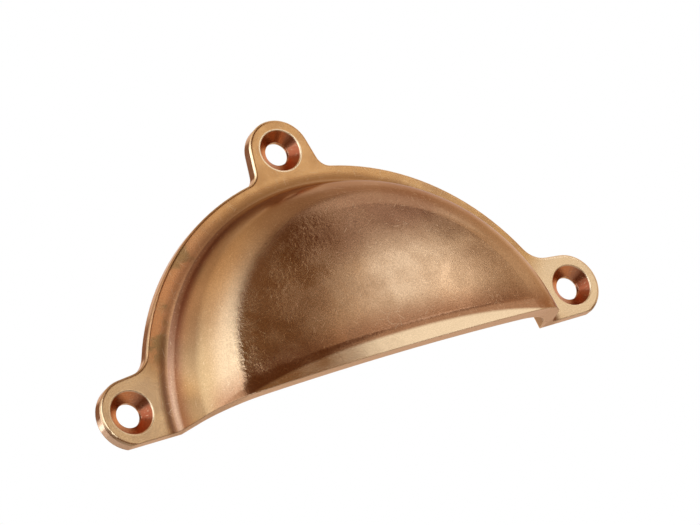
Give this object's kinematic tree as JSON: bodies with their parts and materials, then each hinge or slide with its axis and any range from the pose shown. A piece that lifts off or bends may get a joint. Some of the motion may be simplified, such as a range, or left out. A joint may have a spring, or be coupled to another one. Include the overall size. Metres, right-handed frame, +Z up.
{
  "type": "drawer pull",
  "caption": "Half-moon cast brass cup pull for a drawer, with a flat back plate, side and top screw ears with countersunk holes, and a flared finger lip.",
  "frame": {"origin": "on the back face, midway between the two lower screw holes", "axes": "+X to the right along the lower screw holes, as seen from the front; +Y into the drawer front; +Z up"},
  "size_m": [0.1, 0.0176, 0.0482],
  "materials": {
    "brass": "aged, brown on the cup and worn to gold on the plate and edges"
  },
  "bodies": {
    "root": {"cup_pull": "brass"}
  },
  "joints": []
}
